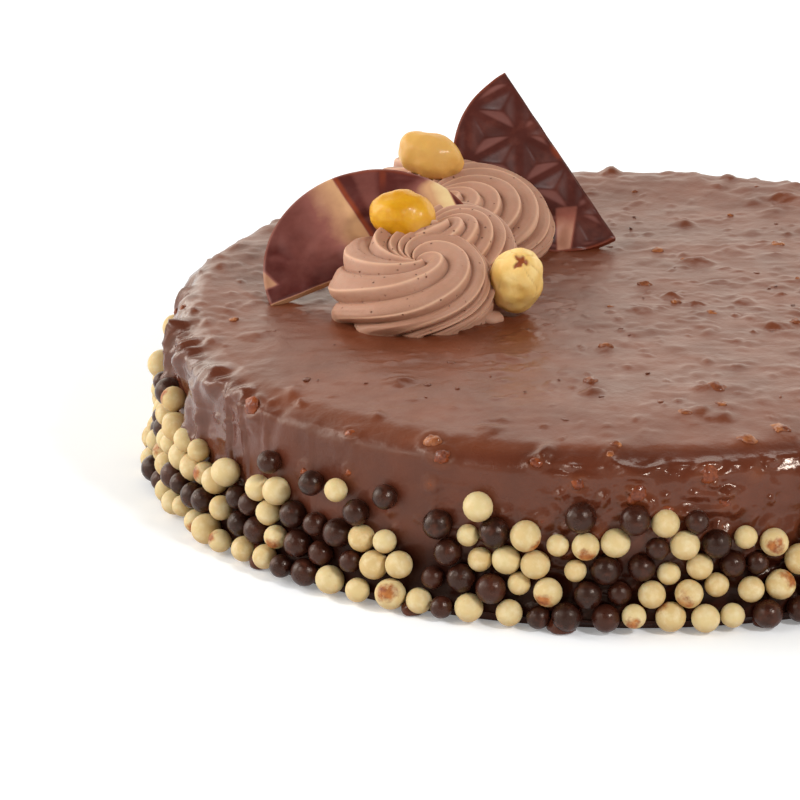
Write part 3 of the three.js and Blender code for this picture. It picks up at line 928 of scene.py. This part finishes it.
def pearl_places():
    """Way along the unrolled side, height, radius and stand-off of every pearl."""
    draw = Draws(PEARL_SEED)
    lap = FULL_TURN * CAKE_RADIUS
    pearls = []
    for row, (share, least, most) in enumerate(PEARL_ROWS):
        for column in range(PEARL_COLUMNS):
            filled = draw() < share
            along = (column + row % 2 / 2) / PEARL_COLUMNS * lap + (draw() - 0.5) * 2 * PEARL_WANDER
            height = PEARL_FIRST_ROW + row * PEARL_ROW_PITCH + (draw() - 0.5) * 2 * PEARL_WANDER
            small = (column + row) % SMALL_PEARL_EVERY == 0
            size = draw()
            size = size * SMALL_PEARL_SPAN if small else between((SMALL_PEARL_SPAN, 1), size)
            stand_off = between((least, most), draw())
            if filled:
                pearls.append([along, height, between(PEARL_RADIUS, size), stand_off])
    settle(pearls, lap)
    return pearls


def white_pearl_finish():
    fixed = {"IOR": 1.4, "Subsurface Weight": 0.12, "Subsurface Scale": 0.002}
    finish = Finish("ivory_pearl", fixed, (3, 0.4, 0.55), (1.2, 3, 0.12, 0.5))
    ivory = finish.blend(finish.mark("tint"), srgb(213, 191, 139), srgb(204, 174, 118))
    ivory = finish.mottle(ivory, srgb(221, 203, 160), 2.2, 4, 0.45, 0.75)
    # Painted shade and a warm painted reflection on the underside of each ivory pearl
    ivory = finish.blend(finish.mark("under"), ivory, srgb(160, 119, 64))
    stain = finish.mottle(srgb(128, 62, 24), srgb(180, 112, 52), 1.5, low=0.35, high=0.65)
    patch = finish.sum(finish.mark("smear"), finish.span(finish.noise(2, 4), 0.3, 0.7, -0.35, 0.35))
    return finish.coloured(finish.blend(finish.span(patch, 0.3, 0.85), ivory, stain))


def dark_pearl_finish():
    fixed = {"IOR": 1.45, "Specular IOR Level": 0.45, "Specular Tint": (1, 0.86, 0.76, 1)}
    finish = Finish("dark_pearl", fixed, (2.5, 0.2, 0.42), (1.1, 3, 0.22, 0.7))
    dark = finish.blend(finish.mark("tint"), srgb(40, 16, 9), srgb(60, 27, 17))
    return finish.coloured(finish.mottle(dark, srgb(80, 40, 27), 2.4, 4, 0.5, 0.8))


def make_pearls():
    """Ivory and dark pearls in loose patches; ivory ones get painted shade and a warm painted reflection
    below, and some of them are stained.
    """
    generator = np.random.default_rng(PEARL_SEED)
    draw = generator.random
    template, faces = ball(PEARL_SEGMENTS, PEARL_RINGS)
    pearls = np.array(pearl_places())
    turns = pearls[:, 0] / CAKE_RADIUS
    leaning = noise(on_drum(turns, pearls[:, 1]), PEARL_PATCH, 71)
    leaning += PEARL_MIXING * generator.standard_normal(len(pearls))
    white = leaning > np.quantile(leaning, 1 - WHITE_SHARE)
    shapes = {True: [], False: []}
    marks = {True: {"tint": [], "smear": [], "under": []}, False: {"tint": []}}
    for number, (_, height, radius, stand_off) in enumerate(pearls):
        kind = bool(white[number])
        out = outward(turns[number])
        stretch = 1 + PEARL_STRETCH * (draw(3) - 0.6)
        turned = random_rotation(draw)
        body = craggy(template, PEARL_DENTS, number) * stretch @ turned.T * radius
        shapes[kind].append(body + out * (CAKE_RADIUS + stand_off) + UP * height)
        marks[kind]["tint"].append(np.full(len(template), draw()))
        stained = draw() < STAINED_SHARES[0 if height < LOW_PEARL else 1]
        smear_toward = unit(out * 0.8 + generator.standard_normal(3) * 0.6)
        if kind:
            ways = template @ turned.T
            marks[kind]["smear"].append(ease(0.45, 1.1, ways @ smear_toward) * stained)
            # Where the underside of an ivory pearl gets painted shade and reflection
            marks[kind]["under"].append(0.6 * ease(0.1, -0.9, ways[:, 2]))
    make_scatter("white_pearls", shapes[True], faces, white_pearl_finish(), marks[True])
    make_scatter("dark_pearls", shapes[False], faces, dark_pearl_finish(), marks[False])


# Cream

def spline(knots, shares):
    """Points at shares from 0 to 1 of a smooth curve through the knots."""
    knots = np.array(knots, dtype=float)
    last = len(knots) - 1
    place = np.asarray(shares) * last
    knot = np.minimum(np.floor(place).astype(int), last)
    part = (place - knot)[:, None]
    before, here, after, beyond = (knots[np.clip(knot + step, 0, last)] for step in (-1, 0, 1, 2))
    start, end = (after - before) / 2, (beyond - here) / 2
    cubic = (2 * here - 2 * after + start + end) * part**3
    return cubic + (-3 * here + 3 * after - 2 * start - end) * part**2 + start * part + here


def cream_finish():
    fixed = {"IOR": 1.4, "Subsurface Weight": 0.12, "Subsurface Scale": 0.002}
    finish = Finish("mocha_cream", fixed, (3, 0.5, 0.64))
    tone = finish.mottle(srgb(171, 125, 102), srgb(183, 138, 115), 9, 4)
    # Painted shade in the valleys and a painted highlight along the crests of the ridges
    tone_with_valley_shade = finish.blend(finish.span(finish.mark("valley_shade"), 0, 1, 0, 0.5), tone, srgb(146, 100, 79))
    tone_with_crest_highlight = finish.blend(finish.mark("crest"), tone_with_valley_shade, srgb(212, 168, 140))
    # Rare small pits: sunk by the bump and darkened with painted shade
    rare = finish.span(finish.noise(3.4, 2), 0.52, 0.58)
    pits_with_painted_shade = finish.product(finish.span(finish.cells(1.7), 0.08, 0.22, 1, 0), rare)
    finish.bump(finish.sum(finish.noise(0.8, 4), finish.product(pits_with_painted_shade, -2)), 0.2, 0.7)
    return finish.coloured(finish.blend(pits_with_painted_shade, tone_with_crest_highlight, srgb(112, 70, 50)))


def ridge_section(phase):
    """Height of a ridge: a round crest at each whole number, a steep lip past it, then a broad back."""
    past = phase - np.floor(phase)
    back = np.clip((past - RIDGE_LIP) / (1 - RIDGE_LIP), 0, 1)
    lip = np.clip(past / RIDGE_LIP, 0, 1)
    return np.where(past < RIDGE_LIP, 0.95 * (1 - lip**1.7), np.sin(0.62 * back * math.pi) ** 0.7)


def rosette_form(
    at, radius, height, eye, rake, ridges, swirl, winding, turn, seed, crowding=0, widest=0, peaks=0
):
    """Rings of a mound whose ridges wind up and in to the eye, with marks for painted highlights on their
    crests and painted shade in their valleys.
    """
    climb = np.linspace(0, 1, ROSETTE_ROWS + 1)[:-1]
    section = spline(ROSETTE_SECTION, climb)
    reach = np.maximum(section[:, 0], 0)[:, None] * radius
    rise = section[:, 1][:, None] * height
    climb = climb[:, None]
    share = np.arange(ROSETTE_COLUMNS)[None, :] / ROSETTE_COLUMNS
    angle = share * FULL_TURN
    around = np.stack(np.broadcast_arrays(np.cos(angle), np.sin(angle), climb), axis=-1)
    shape = around.shape[:2]
    wander, lines, ripple = (
        noise(around.reshape(-1, 3), size, seed + own).reshape(shape)
        for own, size in enumerate(((0.5, 0.5, 0.3), (0.09, 0.09, 0.8), (0.2, 0.2, 0.1)))
    )
    phase = share * ridges + ridges * (0.025 * wander + 0.009 * ripple) * (1 - climb)
    crest = ridge_section(phase)
    run = np.hypot(np.gradient(reach[:, 0]), np.gradient(rise[:, 0]))[:, None] * ROSETTE_ROWS
    slant = reach * math.radians(swirl) * winding * climb ** (winding - 1) / np.maximum(run, 1)
    off_crest = np.abs(phase - np.round(phase)) * FULL_TURN * np.maximum(reach, 2) / ridges
    from_widest = (share - widest) * FULL_TURN
    off_crest = off_crest * (1 + crowding * np.cos(from_widest)) / np.hypot(1, slant)
    # The crest mark, for a painted highlight along each crest
    edge = bell(off_crest, 0.4) * ease(0, 0.12, climb)
    room = 1 + RIDGE_ROOM * crowding * np.cos(from_widest)
    swell = (crest - 0.5) * RIDGE_DEPTH * room * (1 - RIDGE_FADE * climb) * (1 + 0.3 * wander)
    swell = swell + (0.4 * wander + 0.13 * lines) * (1 - climb) + 0.22 * edge
    slope = np.minimum(1, climb * RIDGE_TURN_UP) * math.pi / 2
    angle = angle + crowding * np.sin(from_widest) + math.radians(turn)
    angle = angle + math.radians(swirl) * climb**winding
    out = reach + swell * np.cos(slope) * np.minimum(1, reach / 3)
    lift = swell * np.sin(slope)
    lift = lift + peaks * ease(0.1, 0.9, np.sin(angle)) * crest**3 * bell(climb - 0.45, 0.15)
    raked = rise / height * rake * out * np.sin(angle) / radius
    drift = climb**EYE_DRIFT
    x = at[0] + out * np.cos(angle) + eye[0] * drift
    y = at[1] + out * np.sin(angle) + eye[1] * drift
    z = TOP + rise + lift + raked - ROSETTE_SINK * (climb == 0)
    grid = np.stack(np.broadcast_arrays(x, y, z), axis=-1)
    # Painted shade in the valleys between ridges
    valley_shade = ease(0.4, 0.02, crest) * ease(1, 0.8, climb)
    return grid, {"crest": np.broadcast_to(edge, shape), "valley_shade": np.broadcast_to(valley_shade, shape)}


def make_rosettes():
    """The piped rosettes, and a dab of cream at the foot of the front one."""
    finish = cream_finish()
    for number, rosette in enumerate(ROSETTES):
        sizes = {key: value for key, value in rosette.items() if key != "name"}
        grid, marks = rosette_form(**sizes, seed=ROSETTE_SEED + 3 * number)
        foot = (*rosette["at"], TOP - ROSETTE_SINK)
        points, faces = closed_rings(grid, foot, grid[-1].mean(axis=0))
        marks = {mark: np.r_[values.ravel(), 0, 0] for mark, values in marks.items()}
        make_piece("piped_" + rosette["name"], points, faces, finish, rosette["name"], marks)
    template, faces = pebble(4)
    middle, half_sizes = np.array(CREAM_DAB)
    points = craggy(template, DAB_CRAGS) * half_sizes + middle
    marks = {mark: np.zeros(len(points)) for mark in ("crest", "valley_shade")}
    make_piece("cream_dab", points, faces, finish, "cream_rosette_front", marks)


# Hazelnuts

def glazed_nut_finish():
    fixed = {
        "IOR": 1.4, "Roughness": 0.42, "Specular IOR Level": 0.35, "Coat Weight": 0.2, "Coat Roughness": 0.2,
        "Subsurface Weight": 0.1, "Subsurface Scale": 0.003,
    }
    finish = Finish("golden_glaze", fixed, grain=(2, 3, 0.3, 0.6))
    gold = finish.mottle(srgb(204, 140, 12), srgb(220, 163, 28), 5, low=0.35)
    faded = finish.blend(finish.mark("pale"), gold, srgb(222, 178, 112))
    toasted = finish.blend(finish.noise(1.8), srgb(112, 60, 16), srgb(158, 94, 22))
    return finish.coloured(finish.blend(finish.mark("toast"), faded, toasted))


def plain_nut_finish():
    fixed = {"IOR": 1.42, "Subsurface Weight": 0.12, "Subsurface Scale": 0.002}
    finish = Finish("blanched_kernel", fixed, (2, 0.36, 0.5), (0.9, 4, 0.2, 0.6))
    cream = finish.mottle(srgb(236, 196, 112), srgb(246, 216, 146), 4, 4, 0.35)
    golden = finish.mottle(cream, srgb(224, 176, 84), 7, 1, 0.42, 0.75)
    shaded = finish.blend(finish.mark("groove"), golden, srgb(180, 130, 62))
    return finish.coloured(finish.blend(finish.mark("toast"), shaded, srgb(140, 66, 24)))


def nut_form(length, width, narrowing, seed):
    """Rings of a kernel with its tip up, a little uneven."""
    tilt = np.linspace(0, math.pi, NUT_ROWS + 1)[1:-1][:, None]
    turn = np.arange(NUT_COLUMNS)[None, :] / NUT_COLUMNS * FULL_TURN
    along = -np.cos(tilt)
    swell = width / 2 * np.sin(tilt) ** NUT_FULLNESS * (1 - narrowing * np.maximum(0, along) ** 2)
    sides = (swell * np.cos(turn), swell * np.sin(turn), length / 2 * along)
    grid = np.stack(np.broadcast_arrays(*sides), axis=-1)
    uneven = layers(grid.reshape(-1, 3), NUT_UNEVENNESS, seed)
    return grid * (1 + uneven / (width / 2)).reshape(grid.shape[:2])[..., None]


def star_marks(points, middle):
    """Marks of the toasted star where the kernel was attached, and of the folds that run out from it."""
    spot = np.array(STAR_SPOT)
    offset = points - middle
    across = unit(np.cross(UP, spot))
    u, v = offset @ across, offset @ np.cross(spot, across)
    apart = np.hypot(u, v)
    turn = np.arctan2(v, u)
    reach = 1.5 + 0.4 * np.cos(3 * turn + 0.6) + 0.2 * np.cos(5 * turn + 1) + 0.6 * noise(points, 0.9, 152)
    star = ease(0.4, -0.3, apart - reach) * ease(0, 2, offset @ spot)
    folds = bell(np.sin(3.5 * turn + 1.4 * noise(points, 4, 153)), 0.14) * ease(1, 3.5, apart)
    return star, folds * ease(-0.3, 0.5, noise(points, 5, 154))


def glazed_nut_marks(name, points, middle):
    """Marks of a glazed hazelnut's toasted underside and of the pale places of its glaze."""
    x, _, z = (points - middle).T
    toast = NUT_TOAST[name] * ease(-1.8, -4, z + 1.1 * noise(points, 2.4, 156))
    if name == "hazelnut_glazed_back":
        return {"toast": toast, "pale": np.full(len(points), BACK_NUT_PALE)}
    return {"toast": toast, "pale": 0.5 * ease(0, 5, x) * ease(2, -3, z)}


def make_hazelnuts():
    glazed = glazed_nut_finish()
    bare = plain_nut_finish()
    for number, (name, at, length, width, tip, narrowing) in enumerate(HAZELNUTS):
        middle = np.array(at)
        grid = nut_form(length, width, narrowing, NUT_SEED + 5 * number)
        axes = np.array(Vector(UP).rotation_difference(Vector(tip)).to_matrix())
        points, faces = closed_rings(grid, grid[0].mean(axis=0), grid[-1].mean(axis=0))
        points = points @ axes.T + middle
        if name in NUT_TOAST:
            marks = glazed_nut_marks(name, points, middle)
            make_piece("kernel_" + name, points, faces, glazed, name, marks)
        else:
            star, folds = star_marks(points, middle)
            points = points + (middle - points) * (FOLD_SINK * folds + STAR_SINK * star)[:, None]
            marks = {"toast": star, "groove": 0.5 * folds}
            make_piece("kernel_" + name, points, faces, bare, name, marks)


# Chocolate half-discs, where u runs along the straight side from its middle and v away from it

def from_rim(u, v):
    return FAN_RADIUS - np.hypot(u, v)


def fan_relief(u, v, hollow_depth):
    """Depth of the front face: soft three-sided hollows between the arms of stars, shallower at the rim."""
    pitch = STAR_PITCH * math.sqrt(3) / 2
    sides = []
    for turn in (0, math.pi / 3, 2 * math.pi / 3):
        across = ((u - STAR_AT[0]) * math.cos(turn) + (v - STAR_AT[1]) * math.sin(turn)) / pitch
        sides.append(np.abs(across - np.round(across)) * pitch)
    arm = -np.log(np.sum(np.exp(-2 * np.array(sides)), axis=0)) / 2
    hollow = ease(ARM_WIDTH / 2 - 0.6, pitch / 3 + 0.4, arm)
    border = np.minimum(v, from_rim(u, v))
    inside = ease(-FAN_BORDER, 1.6 * FAN_BORDER, border)
    return -hollow_depth * hollow * inside - FAN_EDGE_DROP * (1 - ease(0, 0.7, border))


def facet_light(u, v, hollow_depth, spin):
    """How far the sides of the hollows face up the plate, from 0 to 1, for the painted sheen on them."""
    step = 0.3
    slope_u = (fan_relief(u + step, v, hollow_depth) - fan_relief(u - step, v, hollow_depth)) / (2 * step)
    slope_v = (fan_relief(u, v + step, hollow_depth) - fan_relief(u, v - step, hollow_depth)) / (2 * step)
    facing = -(slope_u * math.sin(math.radians(spin)) + slope_v * math.cos(math.radians(spin)))
    return ease(0.03, 0.32, facing) * ease(0.9, 2, np.minimum(v, from_rim(u, v)))


def inside_corners(u, v, corners, soft):
    """1 inside a convex outline whose corners run anticlockwise, falling to 0 just outside it."""
    share = np.ones(len(u))
    for (u0, v0), (u1, v1) in zip(corners, corners[1:] + corners[:1]):
        length = math.hypot(u1 - u0, v1 - v0)
        off = ((u1 - u0) * (v - v0) - (v1 - v0) * (u - u0)) / length
        share = share * ease(-soft, soft, off)
    return share


def left_marbling(u, v):
    """Pale and warm places of the left half-disc: a fade, a sharp dark band, a cream far end, edges, a paler
    upper left, a painted sheen in the corner.
    """
    fade = (0.05 + 0.95 * np.clip((u + 24) / 24, 0, 1) ** 2) * ease(0, 10, v)
    fade = fade + 0.12 * ease(20, 27, v) * ease(-10, -2, u)
    past_band = u - (0.1 + (28 - v) * 0.116)
    past_facet = u - 0.4 * (v - 22)
    facet = 0.25 * ease(4, 6, u) * ease(11.5, 9, past_facet)
    far_end = 0.6 * ease(13, 20, u) + 0.75 * ease(17, 24.5, u)
    far_end = far_end * ease(26.6, 26, u) * ease(20, 15, v)
    # A painted sheen on the pale triangle at the corner
    corner = 0.75 * inside_corners(u, v, [(-27.2, 11.5), (-29.5, 4.7), (-24.8, 4.8)], 0.5)
    straight_side = ease(0.35, 0.1, v) * ease(-4, -10, u)
    # Paler towards the upper left
    upper_left_pale = 0.2 * ease(12, 19, v) * ease(-6, -13, u)
    pale = [np.minimum(fade, 1) * ease(0.5, -0.5, past_band), facet, far_end, corner, straight_side, upper_left_pale]
    band_edge = 0.8 * ease(-0.3, 0.4, past_band) * ease(1.7, 0.5, past_band)
    facet_edge = 0.4 * ease(1.4, 0.4, np.abs(past_facet - 11.6)) * ease(18, 24, v)
    rim_edge = 0.5 * ease(1.5, 0.5, from_rim(u, v)) * ease(1, 6, u) * ease(22, 18, u)
    return np.max(pale, axis=0), np.max([band_edge, facet_edge, rim_edge], axis=0)


def right_marbling(u, v):
    """Pale and warm places of the right half-disc: one beige facet low down, a spot on the straight side."""
    facet = inside_corners(u, v, [(-24.2, 15.5), (-25.8, 12.2), (-15.8, 4), (-13.4, 9.4)], 0.4)
    fall = 0.521 * v - 0.853 * u
    warm = 0.6 * ease(2, 0.6, np.hypot((u - 1) / 1.8, v - 0.2))
    return facet * (0.3 + 0.7 * ease(15, 25, fall)), warm


def chocolate_finish(name, dark, deep, middle, pale, facet):
    """Chocolate that runs from dark to pale and cream by its mark, with a painted sheen on its up-facing
    hollow sides.
    """
    fixed = {"IOR": 1.4, "Specular IOR Level": 0.4}
    finish = Finish(name, fixed, (4, 0.34, 0.46), (2.5, 3, 0.1, 0.4))
    # The facet mark paints a sheen on the sides of the hollows that face up the plate
    tone = finish.blend(finish.mark("facet"), finish.mottle(deep, dark, 7, low=0.35), facet)
    # The pale mark also carries the painted sheen at the left half-disc's corner
    share = finish.sum(finish.mark("pale"), finish.span(finish.noise(5), 0.3, 0.7, -0.08, 0.08))
    for low, high, paler in ((0, 0.5, middle), (0.5, 1, pale), (1.1, 1.4, srgb(228, 202, 150))):
        tone = finish.blend(finish.span(share, low, high), tone, paler)
    return finish.coloured(finish.blend(finish.mark("edge"), tone, srgb(140, 60, 30)))


def fan_form(marbling, hollow_depth, spin):
    """A plate from polar rows round the middle of its straight side: points, faces and marks."""
    out = (np.arange(FAN_ROWS) + 1)[:, None] / FAN_ROWS * FAN_RADIUS
    turn = np.linspace(0, math.pi, FAN_COLUMNS)[None, :]
    u = np.r_[(out * np.cos(turn)).ravel(), 0]
    v = np.r_[(out * np.sin(turn)).ravel(), 0]
    front = np.stack([u, v, fan_relief(u, v, hollow_depth)], axis=1)
    back = np.stack([u, v, np.full(len(u), -float(FAN_THICKNESS))], axis=1)
    count = len(u)
    pole = count - 1
    faces = []
    for column in range(FAN_COLUMNS - 1):
        faces.append([pole, column, column + 1])
        for row in range(FAN_ROWS - 1):
            corner = row * FAN_COLUMNS + column
            faces.append([corner, corner + FAN_COLUMNS, corner + FAN_COLUMNS + 1, corner + 1])
    faces += [[corner + count for corner in reversed(face)] for face in faces]
    start_side = [row * FAN_COLUMNS for row in range(FAN_ROWS)]
    arc = [(FAN_ROWS - 1) * FAN_COLUMNS + column for column in range(FAN_COLUMNS)]
    end_side = [row * FAN_COLUMNS + FAN_COLUMNS - 1 for row in reversed(range(FAN_ROWS))]
    outline = [pole, *start_side[:-1], *arc, *end_side[1:]]
    for here, after in zip(outline, outline[1:] + outline[:1]):
        faces.append([here, here + count, after + count, after])
    pale, warm = marbling(u, v)
    edge = np.maximum(warm, 0.6 * ease(0.8, 0.1, from_rim(u, v)) * (1 - pale))
    # Painted sheen on the hollow sides that face up the plate, on the front face only
    facet = facet_light(u, v, hollow_depth, spin)
    marks = {"pale": np.r_[pale, pale], "edge": np.r_[edge, edge], "facet": np.r_[facet, 0 * facet]}
    return np.vstack([front, back]), faces, marks


def make_fans():
    # Tones of each half-disc: dark, deep, middle, pale, and the painted sheen of hollow sides that face up
    # the plate
    tones = {
        "marbled_chocolate": ((85, 36, 32), (75, 27, 22), (134, 80, 72), (202, 156, 116), (104, 54, 50)),
        "dark_chocolate": ((84, 38, 31), (70, 27, 20), (148, 86, 72), (200, 146, 122), (116, 71, 65)),
    }
    for fan, slot, marbling in zip(FANS, tones, (left_marbling, right_marbling)):
        name, at, yaw, lean, spin, hollow_depth = fan
        finish = chocolate_finish(slot, *(srgb(*tone) for tone in tones[slot]))
        points, faces, marks = fan_form(marbling, hollow_depth, spin)
        yaw, lean, spin = np.radians([yaw, lean, spin])
        turned = rotation(0, 0, yaw) @ rotation(lean, 0, 0) @ rotation(0, 0, spin)
        points = points @ turned.T + np.array(at)
        make_piece("plate_" + name, points, faces, finish, name, marks, sharp=FAN_SHARP_ANGLE)


# Studio

def make_floor():
    white = (1, 1, 1, 1)
    finish = Finish("pale_floor", {"Roughness": 0.9, "Emission Color": white, "Emission Strength": 0.2})
    finish.coloured(finish.blend(finish.noise(400, 2), (0.88, 0.91, 0.95, 1), (0.9, 0.93, 0.97, 1)))
    mesh = bpy.data.meshes.new("floor")
    square = ((-1, -1), (1, -1), (1, 1), (-1, 1))
    corners = [(x * FLOOR_HALF, y * FLOOR_HALF, FLOOR_HEIGHT) for x, y in square]
    mesh.from_pydata(corners, [], [[0, 1, 2, 3]])
    mesh.materials.append(finish.material)
    floor = add_object("floor", mesh)


def make_lamp(name, at, size, watts):
    """A soft lamp that faces the middle of the cake's foot."""
    light = bpy.data.lights.new(name, "AREA")
    light.shape = "RECTANGLE"
    light.size, light.size_y = size
    light.energy = watts
    lamp = add_object(name, light)
    lamp.location = at
    lamp.rotation_euler = (-Vector(at)).to_track_quat("-Z", "Y").to_euler()


def make_world():
    """Soft light from all round: brightest low down at the back and left, dimmer in front and overhead."""
    world = bpy.data.worlds.new("soft_studio")
    world.use_nodes = True
    bpy.context.scene.world = world
    nodes = Nodes(world.node_tree)
    place = nodes.add("ShaderNodeTexCoord", {}).outputs["Generated"]
    axes = nodes.add("ShaderNodeSeparateXYZ", {0: place}).outputs
    across, deep, high = (nodes.span(axes[axis], *spans) for axis, spans in WORLD_SHADES.items())
    background = world.node_tree.nodes["Background"].inputs
    nodes.feed(background["Strength"], nodes.product(nodes.product(across, deep), high))
    nodes.feed(background["Color"], WORLD_COLOUR)


def make_camera():
    camera = bpy.data.cameras.new("camera")
    camera.lens = CAMERA_LENS
    camera.sensor_width = SENSOR
    camera.clip_end = CAMERA_FARTHEST * MM
    holder = add_object("camera", camera)
    holder.location = Vector(CAMERA_AT) * MM
    holder.rotation_euler = (math.radians(90 - CAMERA_PITCH), 0, 0)
    bpy.context.scene.camera = holder


make_camera()
make_drips(make_glaze())
make_nut_bits()
make_crumbs()
make_pearls()
make_rosettes()
make_hazelnuts()
make_fans()
make_floor()
make_world()
for lamp_values in LAMPS:
    make_lamp(*lamp_values)
bpy.context.scene.view_settings.view_transform = "Standard"

bpy.context.view_layer.update()
